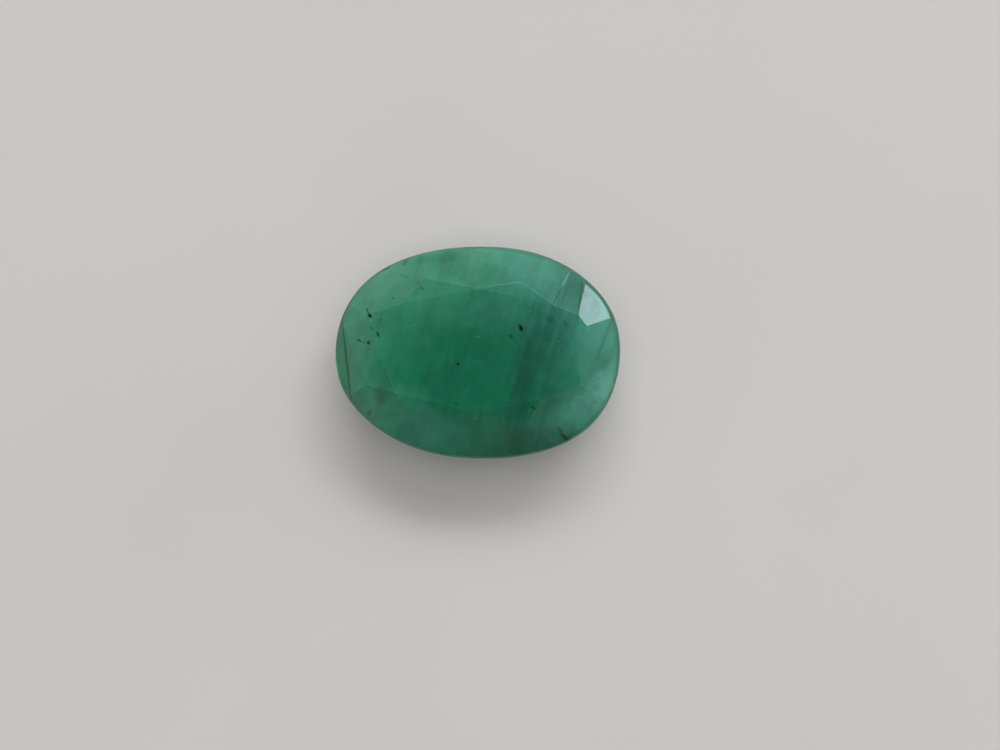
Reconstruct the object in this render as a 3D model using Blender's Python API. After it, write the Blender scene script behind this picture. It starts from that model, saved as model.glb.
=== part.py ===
"""Oval faceted emerald, resting on the flat culet of its pavilion with the table up.

Lengths are in metres and +Z is up. The origin is on the surface that the stone rests on, under the
middle of the oval. X runs along the oval's long axis, and places round the stone are angles from X in
degrees. The stone is one solid. It starts as an oval blank with a rounded girdle, and each facet is
one flat cut across that blank.
"""

import math

import bmesh
import bpy
from mathutils import Vector
from mathutils.geometry import intersect_plane_plane

MM = 0.001

# The oval outline, seen from above
LENGTH = 11.0 * MM
WIDTH = 8.2 * MM
SQUARENESS = 2.187  # exponent of the oval; 2 is a true ellipse
THREE_LOBE = -0.0075  # how far the hand-cut oval leaves that curve, as shares of its radius
SIX_LOBE = 0.0038
OUTLINE_SIDES = 144  # one vertex every 2.5 degrees, so facets that end on multiples of that end on one

# Heights above the surface that the culet rests on
GIRDLE_LOW = 2.84 * MM
GIRDLE_WIDEST = 2.98 * MM
GIRDLE_HIGH = 3.28 * MM
TABLE = 4.18 * MM
SPARE = 0.3 * MM  # what the blank has above the table and under the culet, for the cuts to take off

# How far the girdle's rounded edges lie inside the outline
LOW_EDGE_INSET = 0.07 * MM
HIGH_EDGE_INSET = 0.09 * MM
# Where the cutter left the girdle broad: a place round it, how much further in and how much higher
# its upper edge lies there, and over how many degrees that fades
BROAD_PLACES = (
    (32.5, 0.10 * MM, 0.10 * MM, 30),
    (187.5, 0.06 * MM, 0.12 * MM, 35),
)

# The crown has eight bezels and eight stars. A bezel is given by the place round the girdle where it
# touches it, by how many degrees of the girdle it takes up there, and by the table corner that it runs
# up to.
POINTED = 0.5
BEZELS = (
    (-5, POINTED, 3.72 * MM, 0.25 * MM),
    (47.5, 10, 2.80 * MM, 1.88 * MM),
    (90, POINTED, -0.05 * MM, 2.42 * MM),
    (135, POINTED, -2.95 * MM, 1.78 * MM),
    (180, POINTED, -3.90 * MM, 0.05 * MM),
    (227.5, POINTED, -3.15 * MM, -1.66 * MM),
    (270, POINTED, -0.05 * MM, -2.30 * MM),
    (315, POINTED, 2.48 * MM, -1.70 * MM),
)
STAR_TIP = TABLE - 0.22 * MM

# Its sixteen girdle facets lie two between one bezel and the next. Each has the places round the
# girdle where it starts and ends, and how much lower than the star's tip it was cut.
GIRDLE_FACETS = (
    (-5, 20, 0.08 * MM),
    (20, 42.5, 0.135 * MM),
    (52.5, 67.5, 0.12 * MM),
    (67.5, 90, 0.0),
    (90, 112.5, 0.0),
    (112.5, 135, 0.0),
    (135, 157.5, 0.03 * MM),
    (157.5, 170, 0.0),
    (170, 205, 0.0),
    (205, 227.5, 0.0),
    (227.5, 250, 0.0),
    (250, 270, 0.04 * MM),
    (270, 292.5, 0.0),
    (292.5, 315, 0.0),
    (315, 337.5, 0.0),
    (337.5, 355, 0.0),
)
# The girdle facet with a narrow flat ground under it, by its place in that list. The flat aims at a
# share of the outline, so that it ends just above the girdle's widest line.
UNDERCUT_FACET = 8
UNDERCUT_REACH = 1.006

# The pavilion steps down to the culet in rings: a share of the outline and a height for each
PAVILION_SIDES = 16
PAVILION_RINGS = ((1.005, GIRDLE_LOW), (0.87, 1.78 * MM), (0.66, 0.78 * MM), (0.34, 0.0))

# How the cuts are worked out
ON_THE_PLANE = 2e-8
SAME_POINT = 5e-7
SHARP_EDGE = math.radians(5)

# The finish
GREEN = (0.035, 0.235, 0.130, 1.0)
POLISH = 0.12


def outline_point(turn, inset=0.0, height=0.0, share=1.0):
    """A point on the girdle's oval, turn degrees round it, moved inwards by inset or scaled to share."""
    t = math.radians(turn)
    lobes = 1 + THREE_LOBE * math.cos(3 * t) + SIX_LOBE * math.sin(6 * t)
    power = 2 / SQUARENESS
    across = math.copysign(abs(math.cos(t)) ** power, math.cos(t))
    along = math.copysign(abs(math.sin(t)) ** power, math.sin(t))
    x = LENGTH / 2 * across * lobes
    y = WIDTH / 2 * along * lobes
    shrink = share - inset / math.hypot(x, y)
    return Vector((x * shrink, y * shrink, height))


def high_edge_point(turn, height=None):
    """A point on the upper edge of the girdle, where the crown facets end, or straight above it."""
    inset = HIGH_EDGE_INSET
    edge_height = GIRDLE_HIGH
    for place, further_in, higher, spread in BROAD_PLACES:
        away = ((turn - place + 180) % 360 - 180) / spread
        fade = math.exp(-away * away)
        inset += further_in * fade
        edge_height += higher * fade
    return outline_point(turn, inset, edge_height if height is None else height)


def ring(mesh, place):
    """A closed ring of edges, with each vertex where place puts it for its turn round the stone."""
    made = bmesh.ops.create_circle(mesh, segments=OUTLINE_SIDES, radius=1)
    for vertex in made["verts"]:
        turn = round(math.degrees(math.atan2(vertex.co.y, vertex.co.x)) * OUTLINE_SIDES / 360)
        vertex.co = place(turn * 360 / OUTLINE_SIDES)


def oval_blank():
    """The uncut stone: an upright oval column whose girdle is a rounded rim."""
    mesh = bmesh.new()
    ring(mesh, lambda turn: outline_point(turn, LOW_EDGE_INSET, -SPARE))
    ring(mesh, lambda turn: outline_point(turn, LOW_EDGE_INSET, GIRDLE_LOW))
    ring(mesh, lambda turn: outline_point(turn, 0.0, GIRDLE_WIDEST))
    ring(mesh, high_edge_point)
    ring(mesh, lambda turn: high_edge_point(turn, TABLE + SPARE))
    bmesh.ops.bridge_loops(mesh, edges=mesh.edges)
    close_openings(mesh)
    bmesh.ops.recalc_face_normals(mesh, faces=mesh.faces)
    return mesh


def close_openings(mesh):
    """Puts one flat face on each open end."""
    rims = [edge for edge in mesh.edges if edge.is_boundary]
    bmesh.ops.holes_fill(mesh, edges=rims, sides=0)


def grind(mesh, point, outwards):
    """Cuts off what stands in front of a plane and closes the flat that this leaves."""
    bmesh.ops.bisect_plane(
        mesh,
        geom=mesh.verts[:] + mesh.edges[:] + mesh.faces[:],
        dist=ON_THE_PLANE,
        plane_co=point,
        plane_no=outwards,
        clear_outer=True,
    )
    close_openings(mesh)


def plane_through(a, b, c):
    """The plane through three points, as a point on it and its normal away from the stone's middle."""
    outwards = (b - a).cross(c - a).normalized()
    middle = Vector((0, 0, GIRDLE_WIDEST))
    if outwards.dot(a - middle) < 0:
        outwards.negate()
    return a, outwards


def table_corner(index):
    """The corner of the table at the top of a bezel."""
    return Vector((*BEZELS[index % len(BEZELS)][2:], TABLE))


def bezel_plane(index):
    """The plane of one bezel, from a table corner down to where it touches the girdle."""
    turn, breadth = BEZELS[index % len(BEZELS)][:2]
    start = high_edge_point(turn - breadth / 2)
    end = high_edge_point(turn + breadth / 2)
    return plane_through(start, end, table_corner(index))


def star_tip(index):
    """Where a bezel, the next one and the star between them meet."""
    on_edge, direction = intersect_plane_plane(*bezel_plane(index), *bezel_plane(index + 1))
    return on_edge + direction * ((STAR_TIP - on_edge.z) / direction.z)


def cut_crown(mesh):
    """Grinds the table, the bezels and the stars."""
    grind(mesh, Vector((0, 0, TABLE)), Vector((0, 0, 1)))
    for index in range(len(BEZELS)):
        grind(mesh, *bezel_plane(index))
    for index in range(len(BEZELS)):
        grind(mesh, *plane_through(table_corner(index), table_corner(index + 1), star_tip(index)))


def cut_girdle_facets(mesh):
    """Grinds the girdle facets of the crown, and the narrow flat under one of them."""
    for place, (turn, next_turn, deeper) in enumerate(GIRDLE_FACETS):
        start = high_edge_point(turn)
        end = high_edge_point(next_turn)
        tip = star_tip(place // 2) - Vector((0, 0, deeper))
        grind(mesh, *plane_through(start, end, tip))
        if place == UNDERCUT_FACET:
            half_way = (turn + next_turn) / 2
            widest = outline_point(half_way, height=GIRDLE_WIDEST, share=UNDERCUT_REACH)
            grind(mesh, *plane_through(start, end, widest))


def cut_pavilion(mesh):
    """Grinds the rows of step facets under the girdle, and the flat culet at their foot."""
    turns = [360 * i / PAVILION_SIDES for i in range(PAVILION_SIDES + 1)]
    for (share, height), (lower_share, lower_height) in zip(PAVILION_RINGS, PAVILION_RINGS[1:]):
        for turn, next_turn in zip(turns, turns[1:]):
            start = outline_point(turn, height=height, share=share)
            end = outline_point(next_turn, height=height, share=share)
            below = outline_point(turn, height=lower_height, share=lower_share)
            grind(mesh, *plane_through(start, end, below))
    grind(mesh, Vector((0, 0, 0)), Vector((0, 0, -1)))


def centre(mesh):
    """Moves the stone sideways, so that its length and width have their middles on Z."""
    columns = list(zip(*(vertex.co for vertex in mesh.verts)))
    off_x, off_y = ((min(column) + max(column)) / 2 for column in columns[:2])
    bmesh.ops.translate(mesh, verts=mesh.verts, vec=(-off_x, -off_y, 0))


def emerald_material():
    """Milky green beryl with a glossy polish."""
    material = bpy.data.materials.new("emerald")
    material.use_nodes = True
    shader = material.node_tree.nodes["Principled BSDF"]
    shader.inputs["Base Color"].default_value = GREEN
    shader.inputs["Roughness"].default_value = POLISH
    shader.inputs["Metallic"].default_value = 0.0
    return material


def emerald():
    """The whole stone, cut from the crown down."""
    mesh = oval_blank()
    cut_crown(mesh)
    cut_girdle_facets(mesh)
    cut_pavilion(mesh)
    bmesh.ops.remove_doubles(mesh, verts=mesh.verts, dist=SAME_POINT)
    bmesh.ops.dissolve_degenerate(mesh, edges=mesh.edges, dist=SAME_POINT)
    bmesh.ops.recalc_face_normals(mesh, faces=mesh.faces)
    centre(mesh)
    data = bpy.data.meshes.new("emerald")
    mesh.to_mesh(data)
    mesh.free()
    data.shade_smooth()
    data.set_sharp_from_angle(angle=SHARP_EDGE)
    data.materials.append(emerald_material())
    stone = bpy.data.objects.new("emerald", data)
    bpy.context.scene.collection.objects.link(stone)
    return stone


def main():
    """Clears the scene and makes the stone."""
    for existing in list(bpy.data.objects):
        bpy.data.objects.remove(existing, do_unlink=True)
    emerald()


main()
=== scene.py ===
"""A loose oval emerald with its table up, on a plain pale table top, seen from straight above.

The stone's shape comes from the frame: its facets are taken over from there, its edges are rounded a
little, and its finish is built from nodes. Lengths are in metres unless a comment says otherwise.
"""

import math

import bmesh
import bpy
from bpy.props import FloatProperty, FloatVectorProperty, PointerProperty
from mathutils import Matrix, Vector


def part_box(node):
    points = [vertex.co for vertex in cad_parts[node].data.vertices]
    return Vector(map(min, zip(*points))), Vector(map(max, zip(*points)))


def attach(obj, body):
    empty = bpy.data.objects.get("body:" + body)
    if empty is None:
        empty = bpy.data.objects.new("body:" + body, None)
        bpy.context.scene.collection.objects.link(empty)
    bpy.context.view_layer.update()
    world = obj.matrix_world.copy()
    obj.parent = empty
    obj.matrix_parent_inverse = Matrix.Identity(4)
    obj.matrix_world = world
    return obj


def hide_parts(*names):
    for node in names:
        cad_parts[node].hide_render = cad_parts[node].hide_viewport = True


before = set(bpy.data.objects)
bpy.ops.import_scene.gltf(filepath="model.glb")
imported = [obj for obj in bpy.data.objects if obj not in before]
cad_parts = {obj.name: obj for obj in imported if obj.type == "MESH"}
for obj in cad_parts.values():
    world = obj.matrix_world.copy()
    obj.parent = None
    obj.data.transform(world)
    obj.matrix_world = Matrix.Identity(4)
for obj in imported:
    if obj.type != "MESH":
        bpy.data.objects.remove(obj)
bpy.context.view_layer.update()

bl_info = {
    "name": "Oval Emerald",
    "version": (1, 0, 0),
    "blender": (4, 5, 0),
    "location": "3D View > Sidebar > Emerald",
    "description": "Finishes a loose oval emerald and sets it on a pale table top",
    "category": "Object",
}

MM = 0.001
UP = Vector((0.0, 0.0, 1.0))
NODE = "emerald"
STONE_LOW, STONE_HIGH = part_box(NODE)

# The photograph's frame, and where the stone lies in it
IMAGE_WIDTH_PX = 1000
IMAGE_HEIGHT_PX = 750
STONE_CENTRE_PX = (477.8, 352.4)
STONE_LENGTH_PX = 284.4
STONE_ROLL = math.radians(-1.87)

# How the parts of the stone's mesh are told apart
GIRDLE_HEIGHT = 2.98 * MM
GIRDLE_REACH = 0.5 * MM
GIRDLE_FACE_AREA = 0.2 * MM * MM
UNDERCUT_SLOPES = (math.radians(42.5), math.radians(55.0))
SAME_POINT = 0.0002 * MM
SHORT_EDGE = 0.03 * MM
FLAT = math.radians(0.35)
FACET_EDGE = math.radians(4.0)

TABLE_TOP_SIZE = 0.9

# Soft lights that face the stone: azimuth and elevation in degrees, distance, size, brightness, colour
# and whether the stone mirrors them
WHITE = (1.0, 1.0, 1.0)
LIGHTS = {
    "Window": (80, 45.5, 0.90, (0.66, 0.168), 5.0, WHITE, True),
    "Curtain": (80, 45.5, 0.96, (0.90, 0.48), 2.15, WHITE, False),
    "Glint": (38.2, 15.5, 0.12, (0.022, 0.022), 7.1, (0.81, 0.885, 1.0), True),
    "Overhead": (90, 88, 1.05, (0.90, 0.90), 1.45, WHITE, False),
}

# The even light of the room: its colour, its strength in the middle, how much that grows along X and Y,
# and its strength at the horizon. The two fades go by height, as in the list of fades below.
ROOM_COLOUR = (1.0, 0.985, 0.975, 1.0)
ROOM_STRENGTH = 0.30
ROOM_SLOPE = (0.08, 0.13, 0.0)
ROOM_OVERHEAD = (0.60, 0.95, 1.0, 0.25)
HORIZON_STRENGTH = 0.36
HORIZON_FADE = (0.02, 0.12)


class EmeraldSizes(bpy.types.PropertyGroup):
    """Sizes of the stone's fine shape."""

    edge_width: FloatProperty(
        name="Facet edge",
        description="Width of the rounding where two facets meet",
        default=0.010 * MM,
        min=0.0,
        precision=6,
        subtype="DISTANCE",
        unit="LENGTH",
    )


def colour(name, description, default):
    """A colour that the panel shows."""
    return FloatVectorProperty(
        name=name,
        description=description,
        default=default,
        size=4,
        min=0.0,
        max=1.0,
        subtype="COLOR",
    )


class EmeraldFinish(bpy.types.PropertyGroup):
    """Colours and polish of the stone."""

    deep: colour("Deep green", "The clear green in the middle of the stone", (0.007, 0.243, 0.129, 1.0))
    # Also used up the +Y side, where this brighter green is painted light from above
    deep_left_and_lit_top: colour("Deep green, left", "The clear green at the left end", (0.007, 0.335, 0.160, 1.0))
    milky: colour("Milky green", "The green of the cloudy zones", (0.085, 0.375, 0.268, 1.0))
    milky_left: colour("Milky green, left", "The cloudy zones at the left end", (0.092, 0.345, 0.225, 1.0))
    pale: colour("Pale green", "The palest patches, at both ends", (0.168, 0.508, 0.386, 1.0))
    layer: colour("Dark layer", "What dark growth layers leave of the green", (0.66, 0.635, 0.67, 1.0))
    speck: colour("Speck", "The dark mineral grains", (0.000, 0.022, 0.012, 1.0))
    # This dark green also paints a shadow line beside the scuffed facet
    hairline_and_shadow: colour("Hairline", "The hairline cracks and dark seams", (0.010, 0.098, 0.050, 1.0))
    # Worn edges and painted highlights: this light green also paints glints along the facet edges and one
    # bright line between two facets
    wear_and_highlight: colour("Worn edge", "Facet edges where the polish has gone", (0.300, 0.650, 0.520, 1.0))
    stain: colour("Stain", "The brownish cloud near the left end", (0.045, 0.120, 0.055, 1.0))
    # Painted shade: this darker green stands for the shade towards the outline and along the lower edge
    painted_rim_shade: colour("Rim", "The stone close to its outline", (0.015, 0.120, 0.065, 1.0))
    girdle: colour("Girdle", "The girdle's ground surface", (0.018, 0.120, 0.072, 1.0))
    undercut: colour("Undercut", "The narrow flat under the crown's edge", (0.040, 0.280, 0.125, 1.0))
    clearness: FloatProperty(
        name="Clearness",
        description="Share of the light that goes through the stone's surface unscattered",
        default=0.30,
        min=0.0,
        max=1.0,
        subtype="FACTOR",
    )
    refraction: FloatProperty(
        name="Refraction",
        description="Index of refraction of beryl",
        default=1.58,
        min=1.0,
        max=3.0,
    )


class EmeraldStage(bpy.types.PropertyGroup):
    """The table top, the light and the camera."""

    floor: colour("Table top", "The plain table top", (0.71, 0.682, 0.668, 1.0))
    sky: FloatProperty(
        name="Room light",
        description="Strength of the soft light from the room",
        default=1.0,
        min=0.0,
    )
    lens: FloatProperty(
        name="Lens",
        description="Focal length of the camera on a 36 mm sensor, in millimetres",
        default=85.0,
        min=1.0,
    )


class NodeBench:
    """Puts together the node tree of one material or of the world."""

    def __init__(self, tree):
        """Empties the tree, so that only what is added here is in it."""
        self.tree = tree
        tree.nodes.clear()

    def add(self, kind, settings=None, **inputs):
        """A node, with its settings and with each named input set to a value or joined to an output.

        An input is named by its label, or by i and its number.
        """
        node = self.tree.nodes.new(kind)
        for name, value in (settings or {}).items():
            setattr(node, name, value)
        for name, value in inputs.items():
            key = int(name[1:]) if name[1:].isdigit() else name.replace("_", " ")
            self.join(node.inputs[key], value)
        return node

    def join(self, socket, value):
        """Joins an output to an input, or sets the input's own value."""
        if isinstance(value, bpy.types.NodeSocket):
            self.tree.links.new(value, socket)
        else:
            socket.default_value = value

    def maths(self, operation, *values, clamp=False):
        """One Math node."""
        inputs = {f"i{index}": value for index, value in enumerate(values)}
        return self.add("ShaderNodeMath", {"operation": operation, "use_clamp": clamp}, **inputs).outputs[0]

    def vectors(self, operation, *values):
        """One Vector Math node."""
        inputs = {f"i{index}": value for index, value in enumerate(values)}
        node = self.add("ShaderNodeVectorMath", {"operation": operation}, **inputs)
        return node.outputs["Value"] if operation in ("DOT_PRODUCT", "LENGTH") else node.outputs[0]

    def scaled(self, vector, factor):
        """A vector or a colour times a number."""
        return self.add("ShaderNodeVectorMath", {"operation": "SCALE"}, i0=vector, Scale=factor).outputs[0]

    def axis(self, vector, name):
        """One of a vector's three numbers."""
        return self.add("ShaderNodeSeparateXYZ", Vector=vector).outputs[name]

    def fade(self, value, start, end, low=0.0, high=1.0):
        """A smooth step from low at start to high at end."""
        node = self.add(
            "ShaderNodeMapRange",
            {"interpolation_type": "SMOOTHSTEP"},
            Value=value,
            From_Min=start,
            From_Max=end,
            To_Min=low,
            To_Max=high,
        )
        return node.outputs[0]

    def noise(self, vector, scale, detail=3.0, roughness=0.5, distortion=0.0):
        """Noise between 0 and 1 whose features are 1 / scale across."""
        node = self.add(
            "ShaderNodeTexNoise",
            {"noise_dimensions": "3D"},
            Vector=vector,
            Scale=scale,
            Detail=detail,
            Roughness=roughness,
            Distortion=distortion,
        )
        return node.outputs["Fac"]

    def swing(self, vector, pattern, reach, middle=0.0):
        """Noise that swings from a reach below its middle to a reach above it."""
        return self.maths("MULTIPLY_ADD", self.noise(vector, *pattern), 2.0 * reach, middle - reach)

    def mix(self, factor, first, second, blend="MIX"):
        """Two colours mixed."""
        settings = {"data_type": "RGBA", "blend_type": blend, "clamp_factor": True}
        node = self.add("ShaderNodeMix", settings, i0=factor, i6=first, i7=second)
        return node.outputs[2]

    def zones(self, value, low, high, stops):
        """A number that follows a list of (place, number) stops between low and high."""
        place = self.add("ShaderNodeMapRange", Value=value, From_Min=low, From_Max=high).outputs[0]
        ramp = self.add("ShaderNodeValToRGB", Fac=place)
        ramp.color_ramp.interpolation = "B_SPLINE"
        while len(ramp.color_ramp.elements) < len(stops):
            ramp.color_ramp.elements.new(0.5)
        for element, (where, _) in zip(ramp.color_ramp.elements, stops):
            element.position = (where - low) / (high - low)
        for element, (_, amount) in zip(ramp.color_ramp.elements, stops):
            element.color = (amount, amount, amount, 1.0)
        return ramp.outputs["Color"]


# In the finishes below, places and lengths are in millimetres. X runs along the stone, Y across it.

# How far under the surface the streaks and the clouds are looked up
SHALLOW = 0.35
DEEP = 0.9

CROWN_FOOT = 3.28  # height of the crown's foot
SQUARENESS = 2.187  # exponent of the stone's oval outline; 2 is a true ellipse
FAR = 1000.0

# The way the scuffed facet at the upper right faces. It mirrors the small light.
SCUFFED_FACET = (0.452, 0.353, 0.819)

# Noise patterns: features to a millimetre, octaves, roughness and distortion
CLOUD_DRIFT = (0.45, 3.0, 0.55, 0.6)
CLOUD_RAGS = (1.1, 4.0, 0.60)
CLOUD_MOTTLE = (1.5, 4.0, 0.60)
LAYER_WANDER = (0.6, 2.0)
LAYER_PATCHES = (1.0, 3.5, 0.60)
STREAKS = (1.0, 2.5, 0.52, 0.5)
FIBRES = (1.0, 3.0, 0.55, 0.8)
GREEN_DRIFT = (2.0, 4.0, 0.62)
PATCH_RAGS = (2.6, 4.0, 0.65)
MARK_RAGS = (9.0, 2.0)
GROUND_GRAIN = (2.2, 4.0, 0.65)
EDGE_WEAR_AND_GLINTS = (1.1, 3.0, 0.60)
POLISH = (3.0, 5.0, 0.65)
DUST = (5.0, 4.0, 0.60)
RIPPLE = (1.6, 4.0, 0.55)
FLOOR_SHADE = (0.06, 3.0)
FLOOR_GRAIN = (3.0, 4.0, 0.60)

# Fades: the value that each starts and ends at, then the low and the high amount where they aren't 0
# and 1. Those of noise have their start and end between 0 and 1.
CROWN_FADE = (3.0, 3.15)
SCUFFED_FADE = (0.990, 0.998)
LEFT_END_FADE = (0.0, -4.6)
CLEAR_WALL = (0.34, 1.28)
# Clearer and darker towards -Y: partly the stone, partly painted shade on that side
CLEAR_SHADED_SIDE = (-2.8, 1.5, 0.25)
CLOUD_WALL = (1.15, 0.35)
MARK_WALL = (1.85, 1.15)
PATCH_WALL = (1.80, 0.70)
# Painted light: sloping facets made milkier, so lighter than the table
SLOPE_LIGHT = (0.985, 0.93, 0.0, 0.13)
BROAD_LAYER_GAPS = (0.32, 0.60, 0.40)
FINE_LAYERS = (0.46, 0.74, 0.0, 0.42)
WISP_STREAKS = (0.35, 0.60, 0.04, 0.19)
WISP_FIBRES = (0.44, 0.80)
GREEN_SHADES = (0.32, 0.68, 0.93, 1.07)
# Painted shade towards the outline
RIM_SHADE_FADE = (0.90, 0.99, 0.0, 0.50)
GROUND_COVER = (0.35, 0.65, 0.50, 0.85)
# Wear and painted glints along the facet edges
GLINTING_WORN_EDGES = (0.50, 0.70, 0.0, 0.10)
POLISH_ROUGHNESS = (0.35, 0.75, 0.05, 0.11)
DUST_ROUGHNESS = (0.34, 0.66, 0.12, 0.26)
DUST_SHADES = (0.34, 0.66, -0.30, 0.30)
GIRDLE_CLEARNESS = (0.0, 1.0, 1.0, 0.2)
FLOOR_SHADES = (0.3, 0.7, 0.97)

# How much noise frays the walls of the clear middle, the clouds and the patches, how far it moves the
# growth layers, and how much it mottles the clouds
CLEAR_RAGGEDNESS = 0.30
CLOUD_RAGGEDNESS = 0.45
PATCH_RAGGEDNESS = 1.3
LAYER_SHIFT = 0.25
CLOUD_SHADING = 0.22

# The undercut's share of its own colour, what the ground girdle adds to the roughness, what the scuffed
# facet adds to the ripple, and the share of the clearness that is left in the clouds
UNDERCUT_SHARE = 0.6
GROUND_ROUGHNESS = 0.50
SCUFFED_RIPPLE = 0.5
CLOUDY_CLEARNESS = 0.4

# How long, thick and high the features of the patterns are that follow the growth layers
STREAK_SIZE = (2.8, 0.50, 1.4)
FIBRE_SIZE = (1.1, 0.20, 0.8)
LAYER_PATCH_SIZE = (3.0, 0.30, 2.0)

# The stone grew in flat layers that stand almost upright across it. DARK_LAYERS gives places across the
# layers from the stone's middle, each with how dark the stone is there.
LAYER_LEAN = math.radians(73)
LAYER_SLOPE = 0.16
LAYER_NORMAL = (math.sin(LAYER_LEAN), -math.cos(LAYER_LEAN), LAYER_SLOPE)
LAYER_REACH = 6.0
DARK_LAYERS = (
    (-6.0, 0.10),
    (-3.4, 0.05),
    (-2.2, 0.08),
    (-1.3, 0.20),
    (-0.9, 0.12),
    (-0.3, 0.22),
    (0.5, 0.14),
    (1.3, 0.20),
    (1.60, 0.30),
    (1.78, 1.0),
    (2.3, 1.0),
    (2.6, 0.74),
    (3.0, 0.66),
    (3.3, 0.15),
    (3.75, 0.05),
    (4.05, 0.30),
    (4.35, 0.08),
    (4.62, 0.42),
    (4.85, 0.10),
    (6.0, 0.10),
)

# Dark grains in the crown: place along and across the stone and size, then how much longer than wide
# each is, the turn of its long side in degrees and how strong its colour is
SPECKS = (
    (-4.17, 1.27, 0.066, 1.5, -40, 1.0),
    (-4.28, 1.46, 0.034, 2.8, -62, 0.6),
    (-3.82, 0.55, 0.050, 2.3, -62, 0.72),
    (-3.74, 1.11, 0.045, 1.2, 0, 0.45),
    (-4.09, 0.80, 0.050, 1.8, -50, 0.4),
    (-4.18, 0.23, 0.058, 1.4, 80, 0.85),
    (-4.54, 0.30, 0.040, 2.4, -25, 0.7),
    (-4.36, 0.23, 0.026, 3.4, -10, 0.35),
    (-3.93, 1.37, 0.035, 1.2, 0, 0.4),
    (1.62, 0.98, 0.068, 1.7, -58, 1.0),
    (1.25, 0.63, 0.055, 1.9, -48, 0.5),
    (-0.73, -0.48, 0.046, 1.4, -20, 0.95),
    (-0.74, -1.98, 0.042, 1.3, 0, 0.55),
    (2.20, -2.05, 0.050, 1.7, -35, 0.6),
    (-3.31, 1.96, 0.050, 1.3, 0, 0.35),
    (-2.35, 2.58, 0.060, 1.3, 60, 0.32),
    (-2.21, 2.37, 0.050, 1.6, -40, 0.35),
    (-2.92, 2.84, 0.060, 3.4, -18, 0.20),
    (-2.91, 3.37, 0.080, 1.6, 60, 0.35),
    (-3.63, 3.12, 0.055, 3.4, 33, 0.55),
    (-4.09, -2.45, 0.070, 1.9, 72, 0.45),
    (2.75, 1.33, 0.100, 1.7, -35, 0.22),
    (3.31, 1.20, 0.058, 1.7, -50, 0.30),
    (3.51, -0.61, 0.060, 2.2, -30, 0.16),
    (3.27, -2.90, 0.050, 3.2, -52, 0.45),
    (3.50, -3.20, 0.060, 4.2, -38, 0.80),
)

# Hairline cracks and narrow dark seams, given in the same way. The one at 3.87, 2.12 is a painted shadow
# line along the left edge of the scuffed facet
HAIRLINES_AND_SHADOW_LINE = (
    (-5.03, -0.51, 0.036, 38.0, -81.8, 0.72),
    (2.98, 2.26, 0.036, 9.0, 64.9, 0.40),
    (4.84, 0.62, 0.050, 15.0, 71, 0.28),
    # Painted shadow along the left edge of the scuffed facet
    (3.87, 2.12, 0.050, 13.0, 84.5, 0.50),
)

# Small pale points, and a painted highlight along the worn edge between two facets, given in the same way
PINPOINTS_AND_GLINT_LINE = (
    (0.03, 0.59, 0.026, 1.2, 0, 0.50),
    (0.03, -2.54, 0.030, 1.2, 0, 0.40),
    (3.05, 0.52, 0.035, 1.6, 20, 0.16),
    (-2.45, 0.95, 0.022, 1.4, 40, 0.40),
    (1.95, 1.62, 0.022, 1.2, 0, 0.35),
    # Painted highlight: a glint along a worn edge between two facets
    (3.30, 2.93, 0.020, 17.0, 64.9, 0.60),
)

# The clear oval in the middle of the stone, which turns milky towards its wall
CLEAR_MIDDLE = (-0.4, -0.9)
CLEAR_RADII = (5.3, 4.7)

# Milky clouds, and clearer places with a minus: the middle and the two radii, the turn in degrees and
# how much milkier the stone is there
CLOUDS = (
    ((-3.90, 2.25), (1.60, 0.80), 50, 0.48),
    ((4.70, -1.50), (1.50, 1.00), 40, 0.95),
    ((3.85, -1.75), (1.70, 0.85), 28, 0.50),
    ((2.20, 1.90), (1.60, 0.70), -10, -0.12),
    ((-4.10, -0.90), (1.80, 0.80), 100, 0.30),
    ((5.10, 0.30), (0.40, 1.50), 8, 0.25),
    ((4.30, 0.85), (0.75, 0.40), 15, 0.24),
    ((1.40, 3.45), (2.40, 0.75), -8, 0.10),
    ((-0.80, 1.60), (2.30, 0.95), -5, 0.17),
    ((-2.50, -2.40), (2.40, 1.15), -20, 0.40),
    ((1.10, -2.70), (2.60, 0.75), 6, 0.12),
    ((-1.40, 3.10), (1.00, 0.36), 12, -0.32),
    ((3.35, 2.15), (0.70, 0.80), -20, -0.30),
    ((2.80, 0.65), (0.80, 1.20), -17, -0.13),
    ((-0.40, 2.60), (2.40, 0.70), -5, -0.21),
    ((-4.00, -2.35), (0.80, 0.50), -60, -0.30),
)

# Ragged patches at the surface, one of them painted shade along the lower edge: the middle and the two
# radii, the turn in degrees, the share of the colour in the middle and the colour's name
PATCHES = (
    ((5.10, -1.25), (1.40, 0.80), 66, 0.90, "pale"),
    ((-4.15, 2.75), (1.30, 0.80), 50, 0.32, "pale"),
    # Painted shade: the stone darker along its lower edge, at -Y
    ((1.90, -3.70), (2.90, 1.05), 12, 0.42, "painted_rim_shade"),
    ((-3.66, -1.78), (0.30, 0.52), -12, 0.50, "stain"),
)

# The direction in which the green changes from the left end's to the right end's. Its lean towards -Y
# carries the left end's brighter clear green up the +Y side, as painted light from above
RIGHTWARDS = (1.0, -0.6, 0.0)

# What the stone's body does to light, in metres: the share that scatters, how far red, green and blue
# spread as shares of a length, that length, and the colour and density that absorb light
SCATTER_SHARE = 1.0
SCATTER_SPREAD = (0.5, 1.0, 0.8)
SCATTER_LENGTH = 1.2 * MM
BODY_COLOUR = (0.10, 0.75, 0.42, 1.0)
BODY_DENSITY = 150.0


def new_material(name):
    """An empty material, and the bench for its nodes."""
    material = bpy.data.materials.new(name)
    material.use_nodes = True
    return material, NodeBench(material.node_tree)


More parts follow.
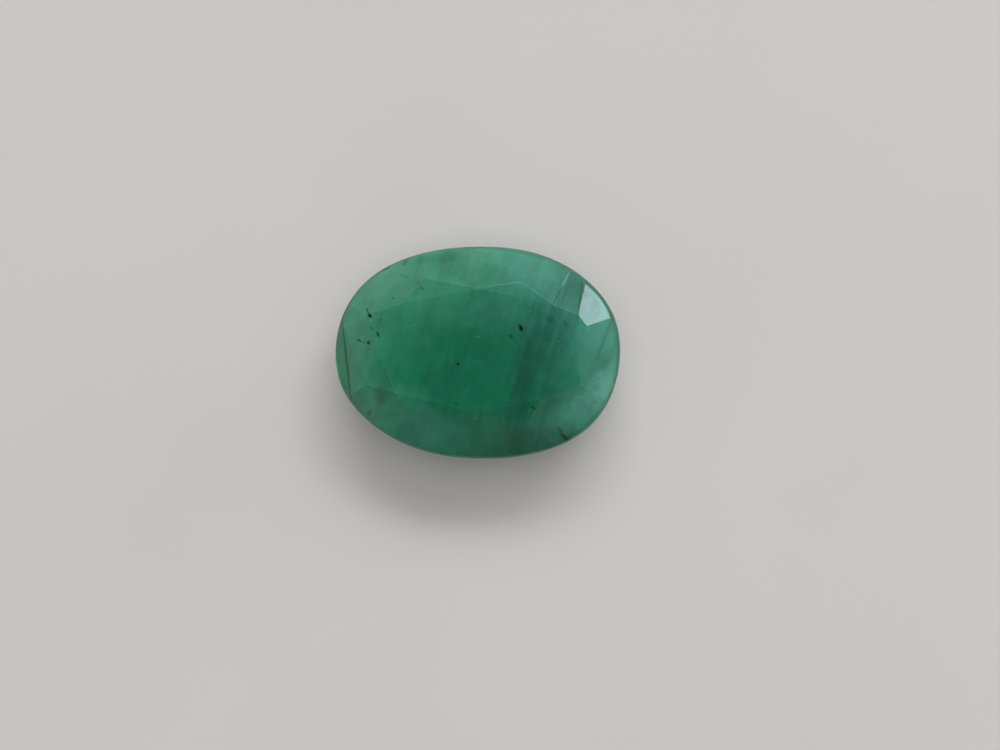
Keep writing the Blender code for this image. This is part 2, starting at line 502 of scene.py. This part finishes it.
def place_on_piece(bench):
    """Where a point of the piece lies, in millimetres."""
    return bench.scaled(bench.add("ShaderNodeTexCoord").outputs["Object"], 1.0 / MM)


def below_surface(bench, place, outwards, depth):
    """The point that lies straight in from a place on the surface."""
    return bench.vectors("SUBTRACT", place, bench.scaled(outwards, depth))


def along_layers(bench, place, size):
    """The place in a frame whose X runs along the growth layers, for a pattern of the given size."""
    mapping = bench.add("ShaderNodeMapping", {"vector_type": "TEXTURE"}, Vector=place, Scale=size)
    mapping.inputs["Rotation"].default_value = (0.0, 0.0, LAYER_LEAN)
    return mapping.outputs[0]


def oval_distance(bench, place, middle, radii, turn=0.0):
    """How far a place is from the middle of an oval column, where 1 is on its wall."""
    mapping = bench.add("ShaderNodeMapping", {"vector_type": "TEXTURE"}, Vector=place)
    mapping.inputs["Location"].default_value = (*middle, 0.0)
    mapping.inputs["Rotation"].default_value = (0.0, 0.0, math.radians(turn))
    mapping.inputs["Scale"].default_value = (*radii, FAR)
    return bench.vectors("LENGTH", mapping.outputs[0])


def cloudiness(bench, deep, outwards):
    """How milky the stone is: little in the middle and towards -Y, more at the ends, with painted light on
    slopes and partly towards +Y.
    """
    drift = bench.maths("MULTIPLY", bench.noise(deep, *CLOUD_DRIFT), CLEAR_RAGGEDNESS)
    from_middle = bench.maths("ADD", oval_distance(bench, deep, CLEAR_MIDDLE, CLEAR_RADII), drift)
    # Milkier towards +Y and clearer towards -Y: partly the stone, partly painted light above and shade
    # below
    top_milk_and_light = bench.fade(bench.axis(deep, "Y"), *CLEAR_SHADED_SIDE)
    milkiness = bench.maths("MULTIPLY", bench.fade(from_middle, *CLEAR_WALL), top_milk_and_light)
    ragged = bench.swing(deep, CLOUD_RAGS, CLOUD_RAGGEDNESS)
    for middle, radii, turn, amount in CLOUDS:
        away = bench.maths("ADD", oval_distance(bench, deep, middle, radii, turn), ragged)
        milkiness = bench.maths("ADD", milkiness, bench.fade(away, *CLOUD_WALL, high=amount))
    # Painted light: the sloping facets made milkier and lighter
    slope_light = bench.fade(bench.axis(outwards, "Z"), *SLOPE_LIGHT)
    milkiness = bench.maths("ADD", milkiness, slope_light)
    mottle = bench.swing(deep, CLOUD_MOTTLE, CLOUD_SHADING)
    return bench.maths("ADD", milkiness, mottle, clamp=True)


def edge_nearness(bench, place):
    """How near a place is to the stone's outline, from 0 in the middle to 1 on it, seen from above."""
    total = 0.0
    for name, half in (("X", STONE_HIGH.x / MM), ("Y", STONE_HIGH.y / MM)):
        share = bench.maths("ABSOLUTE", bench.maths("DIVIDE", bench.axis(place, name), half))
        total = bench.maths("ADD", bench.maths("POWER", share, SQUARENESS), total)
    return total


def layer_darkness(bench, deep, streaks):
    """The broad dark growth layers, with fine ones between them."""
    wander = bench.swing(deep, LAYER_WANDER, LAYER_SHIFT, middle=-LAYER_SLOPE * CROWN_FOOT)
    across = bench.maths("ADD", bench.vectors("DOT_PRODUCT", deep, LAYER_NORMAL), wander)
    broad = bench.zones(across, -LAYER_REACH, LAYER_REACH, DARK_LAYERS)
    patches = bench.noise(along_layers(bench, deep, LAYER_PATCH_SIZE), *LAYER_PATCHES)
    patchy = bench.fade(patches, *BROAD_LAYER_GAPS)
    fine = bench.fade(streaks, *FINE_LAYERS)
    return bench.maths("MULTIPLY_ADD", broad, patchy, fine, clamp=True)


def crown_marks(bench, place, marks, raggedness):
    """How strongly a list of marks, such as SPECKS, colours the crown."""
    total = 0.0
    ragged = bench.maths("MULTIPLY", bench.noise(place, *MARK_RAGS), raggedness)
    for along, across, size, longer, turn, strength in marks:
        away = oval_distance(bench, place, (along, across), (size * longer, size), turn)
        mark = bench.fade(bench.maths("ADD", away, ragged), *MARK_WALL, high=strength)
        total = bench.maths("MAXIMUM", mark, total)
    on_crown = bench.fade(bench.axis(place, "Z"), *CROWN_FADE)
    return bench.maths("MULTIPLY", total, on_crown)


def patch(bench, place, middle, radii, turn, amount):
    """A ragged oval patch: amount in its middle and 0 outside it."""
    ragged = bench.maths("MULTIPLY", bench.noise(place, *PATCH_RAGS), PATCH_RAGGEDNESS)
    away = bench.maths("ADD", oval_distance(bench, place, middle, radii, turn), ragged)
    return bench.fade(away, *PATCH_WALL, high=amount)


def face_share(bench, name):
    """1 on the faces that cut_stone marks with a name, and 0 on the others."""
    return bench.add("ShaderNodeAttribute", {"attribute_name": name}).outputs["Fac"]


def inner_green(bench, finish, place, outwards, deep, cloud):
    """The green in the stone, clear or milky, with its growth layers, wisps and patches, and some painted
    light and shade.
    """
    shallow = below_surface(bench, place, outwards, SHALLOW)
    streaks = bench.noise(along_layers(bench, shallow, STREAK_SIZE), *STREAKS)
    fibres = bench.noise(along_layers(bench, deep, FIBRE_SIZE), *FIBRES)
    # The left end's greens, also carried towards +Y, where the brighter clear green is painted light from
    # above
    left_end_and_lit_top = bench.fade(bench.vectors("DOT_PRODUCT", deep, RIGHTWARDS), *LEFT_END_FADE)
    clear_green = bench.mix(left_end_and_lit_top, finish.deep, finish.deep_left_and_lit_top)
    milky_green = bench.mix(left_end_and_lit_top, finish.milky, finish.milky_left)
    green = bench.mix(cloud, clear_green, milky_green)
    dark = bench.mix(layer_darkness(bench, deep, streaks), (*WHITE, 1.0), finish.layer)
    green = bench.mix(1.0, green, dark, "MULTIPLY")
    streaky = bench.fade(streaks, *WISP_STREAKS)
    wisps = bench.maths("MULTIPLY", bench.fade(fibres, *WISP_FIBRES), streaky)
    green = bench.mix(wisps, green, milky_green)
    green = bench.scaled(green, bench.fade(bench.noise(deep, *GREEN_DRIFT), *GREEN_SHADES))
    for middle, radii, turn, amount, name in PATCHES:
        green = bench.mix(patch(bench, place, middle, radii, turn, amount), green, getattr(finish, name))
    return green


def surface_green(bench, finish, place, girdle, green):
    """The green with painted shade near the outline, the ground girdle, the marks and painted glints on
    rubbed edges.
    """
    # Painted shade: darker green towards the stone's outline
    rim_shade = bench.fade(edge_nearness(bench, place), *RIM_SHADE_FADE)
    green = bench.mix(rim_shade, green, finish.painted_rim_shade)
    grain = bench.fade(bench.noise(place, *GROUND_GRAIN), *GROUND_COVER)
    green = bench.mix(bench.maths("MULTIPLY", girdle, grain), green, finish.girdle)
    undercut = bench.maths("MULTIPLY", face_share(bench, "undercut"), UNDERCUT_SHARE)
    green = bench.mix(undercut, green, finish.undercut)
    # Cracks and seams, and a painted shadow line beside the scuffed facet
    green = bench.mix(crown_marks(bench, place, HAIRLINES_AND_SHADOW_LINE, raggedness=0.5), green, finish.hairline_and_shadow)
    green = bench.mix(crown_marks(bench, place, SPECKS, raggedness=0.9), green, finish.speck)
    # Pale points, and a painted highlight along one worn facet edge
    green = bench.mix(crown_marks(bench, place, PINPOINTS_AND_GLINT_LINE, raggedness=0.9), green, finish.wear_and_highlight)
    # Facet edges lighter in places: partly wear, partly painted glints
    edge_wear_and_glint = bench.fade(bench.noise(place, *EDGE_WEAR_AND_GLINTS), *GLINTING_WORN_EDGES)
    return bench.mix(bench.maths("MULTIPLY", face_share(bench, "edge"), edge_wear_and_glint), green, finish.wear_and_highlight)


def roughness(bench, place, girdle, scuffed, dust):
    """A high polish, duller on the scuffed facet and dull on the ground girdle."""
    polish = bench.fade(bench.noise(place, *POLISH), *POLISH_ROUGHNESS)
    haze = bench.maths("MULTIPLY", scuffed, bench.fade(dust, *DUST_ROUGHNESS))
    return bench.maths("MULTIPLY_ADD", girdle, GROUND_ROUGHNESS, bench.maths("MAXIMUM", polish, haze))


def emerald_finish(finish):
    """The stone's material: its milky green, its polish, and the light that goes into it."""
    material, bench = new_material("Emerald")
    place = place_on_piece(bench)
    outwards = bench.add("ShaderNodeNewGeometry").outputs["Normal"]
    deep = below_surface(bench, place, outwards, DEEP)
    cloud = cloudiness(bench, deep, outwards)
    girdle = face_share(bench, "girdle")
    scuffed = bench.fade(bench.vectors("DOT_PRODUCT", outwards, SCUFFED_FACET), *SCUFFED_FADE)
    dust = bench.noise(place, *DUST)

    green = inner_green(bench, finish, place, outwards, deep, cloud)
    green = surface_green(bench, finish, place, girdle, green)
    dusty = bench.maths("MULTIPLY", scuffed, bench.fade(dust, *DUST_SHADES))
    green = bench.scaled(green, bench.maths("ADD", dusty, 1.0))
    rough = roughness(bench, place, girdle, scuffed, dust)
    waves = bench.maths("MULTIPLY_ADD", scuffed, SCUFFED_RIPPLE, 1.0)
    ripple = bench.maths("MULTIPLY", bench.noise(place, *RIPPLE), waves)
    bump = bench.add("ShaderNodeBump", Strength=0.20, Distance=0.02 * MM, Height=ripple)
    clear = bench.fade(cloud, 0.0, 1.0, low=finish.clearness, high=finish.clearness * CLOUDY_CLEARNESS)
    clear = bench.maths("MULTIPLY", clear, bench.fade(girdle, *GIRDLE_CLEARNESS))

    shader = bench.add(
        "ShaderNodeBsdfPrincipled",
        Base_Color=green,
        Roughness=rough,
        Metallic=0.0,
        Normal=bump.outputs[0],
        IOR=finish.refraction,
        Transmission_Weight=clear,
        Subsurface_Weight=SCATTER_SHARE,
        Subsurface_Radius=SCATTER_SPREAD,
        Subsurface_Scale=SCATTER_LENGTH,
    )
    body = bench.add("ShaderNodeVolumeAbsorption", Color=BODY_COLOUR, Density=BODY_DENSITY)
    bench.add("ShaderNodeOutputMaterial", Surface=shader.outputs[0], Volume=body.outputs[0])
    return material


def is_girdle(face):
    """Whether a face belongs to the girdle's rounded wall."""
    near = abs(face.calc_center_median().z - GIRDLE_HEIGHT) < GIRDLE_REACH
    return near and face.calc_area() < GIRDLE_FACE_AREA


def is_undercut(face):
    """Whether a face is one of the narrow flats between the girdle and the crown."""
    least, most = UNDERCUT_SLOPES
    return least < face.normal.angle(UP) < most and face.calc_area() > GIRDLE_FACE_AREA


def mark(layer, faces):
    """Writes 1 to a layer of some faces. It is 0 on the others."""
    for face in faces:
        face[layer] = 1.0


def round_edges(mesh, edges, width):
    """Rounds some edges and returns the new strips of faces."""
    made = bmesh.ops.bevel(
        mesh,
        geom=edges,
        offset=width,
        offset_type="OFFSET",
        affect="EDGES",
        segments=2,
        profile=0.5,
        material=-1,
        clamp_overlap=True,
        miter_outer="SHARP",
    )
    return made["faces"]


def cut_stone(sizes):
    """The stone's mesh: the frame's facets, whole and flat, with rounded edges between them."""
    mesh = bmesh.new()
    mesh.from_mesh(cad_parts[NODE].data)
    bmesh.ops.remove_doubles(mesh, verts=mesh.verts, dist=SAME_POINT)
    bmesh.ops.dissolve_limit(mesh, angle_limit=FLAT, verts=mesh.verts, edges=mesh.edges)
    bmesh.ops.dissolve_degenerate(mesh, edges=mesh.edges, dist=SHORT_EDGE)
    girdle = mesh.faces.layers.float.new("girdle")
    undercut = mesh.faces.layers.float.new("undercut")
    edge = mesh.faces.layers.float.new("edge")
    mark(girdle, [face for face in mesh.faces if is_girdle(face)])
    mark(undercut, [face for face in mesh.faces if is_undercut(face)])
    between_facets = [
        each
        for each in mesh.edges
        if each.calc_face_angle(0.0) > FACET_EDGE and not all(face[girdle] for face in each.link_faces)
    ]
    mark(edge, round_edges(mesh, between_facets, sizes.edge_width))
    return mesh


def add_object(name, mesh, material):
    """Puts a bmesh into the scene as an object at the origin, smooth, with its material."""
    data = bpy.data.meshes.new(name)
    mesh.to_mesh(data)
    mesh.free()
    data.shade_smooth()
    data.materials.append(material)
    made = bpy.data.objects.new(name, data)
    bpy.context.scene.collection.objects.link(made)
    return made


class EMERALD_OT_stone(bpy.types.Operator):
    """Makes the emerald with its facets, rounded edges and finish"""

    bl_idname = "emerald.stone"
    bl_label = "Emerald"

    def execute(self, context):
        """Builds the stone and joins it to the frame."""
        scene = context.scene
        material = emerald_finish(scene.emerald_finish)
        stone = add_object("EmeraldStone", cut_stone(scene.emerald_sizes), material)
        flatten = stone.modifiers.new("Flat facets", "WEIGHTED_NORMAL")
        flatten.mode = "FACE_AREA"
        flatten.weight = 100
        flatten.thresh = 0.01
        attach(stone, "root")
        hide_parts(NODE)
        return {"FINISHED"}


def floor_finish(floor_colour):
    """A plain, matt, pale table top with a faint grain."""
    material, bench = new_material("Table top")
    place = place_on_piece(bench)
    shade = bench.fade(bench.noise(place, *FLOOR_SHADE), *FLOOR_SHADES)
    tint = bench.scaled(floor_colour[:3], shade)
    grain = bench.noise(place, *FLOOR_GRAIN)
    bump = bench.add("ShaderNodeBump", Strength=0.12, Distance=0.03 * MM, Height=grain)
    shader = bench.add(
        "ShaderNodeBsdfPrincipled",
        Base_Color=tint,
        Roughness=0.75,
        Normal=bump.outputs[0],
        Specular_IOR_Level=0.25,
    )
    bench.add("ShaderNodeOutputMaterial", Surface=shader.outputs[0])
    return material


def room_light(stage):
    """Even light from the room, brighter from the far right, dimmer overhead and level at the horizon."""
    world = bpy.data.worlds.new("Room")
    world.use_nodes = True
    bpy.context.scene.world = world
    bench = NodeBench(world.node_tree)
    towards = bench.add("ShaderNodeTexCoord").outputs["Generated"]
    height = bench.axis(towards, "Z")
    side = bench.maths("ADD", bench.vectors("DOT_PRODUCT", towards, ROOM_SLOPE), ROOM_STRENGTH)
    overhead = bench.fade(height, *ROOM_OVERHEAD)
    above = bench.maths("MULTIPLY", side, overhead)
    strength = bench.add(
        "ShaderNodeMix",
        {"data_type": "FLOAT"},
        i0=bench.fade(height, *HORIZON_FADE),
        i2=HORIZON_STRENGTH,
        i3=above,
    )
    strength = bench.maths("MULTIPLY", strength.outputs[0], stage.sky)
    glow = bench.add("ShaderNodeBackground", Color=ROOM_COLOUR, Strength=strength)
    bench.add("ShaderNodeOutputWorld", Surface=glow.outputs[0])


def area_light(name, azimuth, elevation, distance, size, radiance, tint, mirrored):
    """A soft light that faces the stone from a compass direction, given as in LIGHTS."""
    data = bpy.data.lights.new(name, "AREA")
    data.shape = "RECTANGLE"
    data.size, data.size_y = size
    data.energy = radiance * data.size * data.size_y * math.pi
    data.color = tint
    turn = math.radians(azimuth)
    lift = math.radians(elevation)
    level = Vector((math.cos(turn), math.sin(turn), 0.0))
    towards = level * math.cos(lift) + UP * math.sin(lift)
    light = bpy.data.objects.new(name, data)
    light.location = towards * distance + UP * GIRDLE_HEIGHT
    light.rotation_euler = towards.to_track_quat("Z", "Y").to_euler()
    light.visible_camera = False
    light.visible_glossy = mirrored
    bpy.context.scene.collection.objects.link(light)


def overhead_camera(stage):
    """The camera, straight above the stone, framed as in the photograph."""
    data = bpy.data.cameras.new("Camera")
    data.lens = stage.lens
    data.clip_start = 1.0 * MM
    data.clip_end = 10.0
    camera = bpy.data.objects.new("Camera", data)
    bpy.context.scene.collection.objects.link(camera)
    length = STONE_HIGH.x - STONE_LOW.x
    per_pixel = length / STONE_LENGTH_PX
    distance = per_pixel * IMAGE_WIDTH_PX * data.lens / data.sensor_width
    right = (IMAGE_WIDTH_PX / 2 - STONE_CENTRE_PX[0]) * per_pixel
    up = (STONE_CENTRE_PX[1] - IMAGE_HEIGHT_PX / 2) * per_pixel
    roll = -STONE_ROLL
    camera.location = (
        right * math.cos(roll) - up * math.sin(roll),
        right * math.sin(roll) + up * math.cos(roll),
        GIRDLE_HEIGHT + distance,
    )
    camera.rotation_euler = (0.0, 0.0, roll)
    bpy.context.scene.camera = camera


class EMERALD_OT_stage(bpy.types.Operator):
    """Makes the table top, the light and the camera"""

    bl_idname = "emerald.stage"
    bl_label = "Table top, light and camera"

    def execute(self, context):
        """Builds the stage round the stone."""
        stage = context.scene.emerald_stage
        mesh = bmesh.new()
        bmesh.ops.create_grid(mesh, x_segments=1, y_segments=1, size=TABLE_TOP_SIZE)
        floor = add_object("TableTop", mesh, floor_finish(stage.floor))
        room_light(stage)
        for name, values in LIGHTS.items():
            area_light(name, *values)
        overhead_camera(stage)
        context.scene.view_settings.view_transform = "Standard"
        context.scene.cycles.max_bounces = 12
        context.scene.cycles.transmission_bounces = 10
        return {"FINISHED"}


class EMERALD_PT_panel(bpy.types.Panel):
    """Buttons and values for the emerald"""

    bl_idname = "EMERALD_PT_panel"
    bl_label = "Emerald"
    bl_space_type = "VIEW_3D"
    bl_region_type = "UI"
    bl_category = "Emerald"

    def draw(self, context):
        """Lists each operator with the values that it uses."""
        scene = context.scene
        for operator, groups in (
            (EMERALD_OT_stone, (scene.emerald_sizes, scene.emerald_finish)),
            (EMERALD_OT_stage, (scene.emerald_stage,)),
        ):
            self.layout.operator(operator.bl_idname)
            for group in groups:
                for name in group.bl_rna.properties.keys():
                    if name not in ("rna_type", "name"):
                        self.layout.prop(group, name)


GROUPS = {
    "emerald_sizes": EmeraldSizes,
    "emerald_finish": EmeraldFinish,
    "emerald_stage": EmeraldStage,
}
CLASSES = (*GROUPS.values(), EMERALD_OT_stone, EMERALD_OT_stage, EMERALD_PT_panel)


def register():
    """Adds the classes, and the values to the scene."""
    for each in CLASSES:
        bpy.utils.register_class(each)
    for name, group in GROUPS.items():
        setattr(bpy.types.Scene, name, PointerProperty(type=group))


def unregister():
    """Takes the values and the classes away again."""
    for name in GROUPS:
        delattr(bpy.types.Scene, name)
    for each in reversed(CLASSES):
        bpy.utils.unregister_class(each)


def main():
    """Makes the stone and the stage."""
    register()
    bpy.ops.emerald.stone()
    bpy.ops.emerald.stage()


if __name__ == "__main__":
    main()
